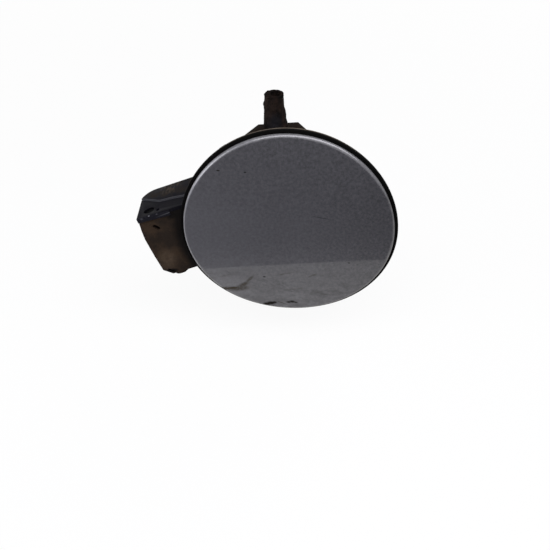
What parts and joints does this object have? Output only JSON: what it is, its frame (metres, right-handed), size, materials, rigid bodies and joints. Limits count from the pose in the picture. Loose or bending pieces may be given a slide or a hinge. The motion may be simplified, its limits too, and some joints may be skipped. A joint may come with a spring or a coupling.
{
  "type": "car fuel door",
  "caption": "Round crowned fuel flap on a gooseneck arm in a moulded bowl with hinge pocket, drain spout, filler neck boot, lock bolt and rim seal.",
  "frame": {"origin": "centre of the flap's outer face, in the body panel's surface", "axes": "the flap faces -Y and the filler neck leaves along +Y, into the car; +Z runs from the flap's centre towards the drain spout; +X points from the hinge pocket towards the lock"},
  "size_m": [0.2081, 0.057, 0.1852],
  "materials": {
    "body_paint": "silver-grey metallic under clear coat",
    "panel_paint": "thin satin paint",
    "arm_steel": "dark coated steel",
    "bowl_plastic": "moulded black plastic, brown with dust outside",
    "cover_plastic": "moulded blue-black plastic",
    "black_plastic": "satin moulded",
    "pale_plastic": "low-friction moulded",
    "seal_rubber": "soft black rubber",
    "spout_rubber": "aged and dusty rubber",
    "zinc": "zinc-plated steel",
    "spring_steel": "dark spring steel"
  },
  "bodies": {
    "housing": {"bowl": "bowl_plastic", "pocket_cover": "cover_plastic", "cover_screw": "zinc", "rim_seal": "seal_rubber", "neck_boot": "seal_rubber", "boot_band": "zinc", "drain_spout": "spout_rubber", "hinge_pin": "zinc", "pin_clip": "spring_steel", "hinge_spring": "spring_steel", "lock_guide": "pale_plastic", "lock_spring": "spring_steel", "upper_buffer": "seal_rubber", "lower_buffer": "seal_rubber", "body_clips": "spring_steel"},
    "flap": {"outer_skin": "body_paint", "inner_panel": "panel_paint", "hinge_arm": "arm_steel", "arm_screws": "zinc", "upper_bush": "pale_plastic", "lower_bush": "pale_plastic", "cap_holder": "black_plastic", "catch": "black_plastic", "catch_rivets": "zinc"},
    "bolt": {"lock_bolt": "pale_plastic"}
  },
  "joints": [
    {"name": "flap_hinge", "type": "hinge", "parent": "housing", "child": "flap", "pos_m": [-0.09481, 0.0195, -0.04025], "axis": [0.3907, 0, -0.9205], "range_deg": [0, 80], "deforming": ["hinge_spring"]},
    {"name": "lock_slide", "type": "slide", "parent": "housing", "child": "bolt", "axis": [-0.9659, 0, 0.2588], "range_m": [0, 0.0055], "deforming": ["lock_spring"]}
  ]
}
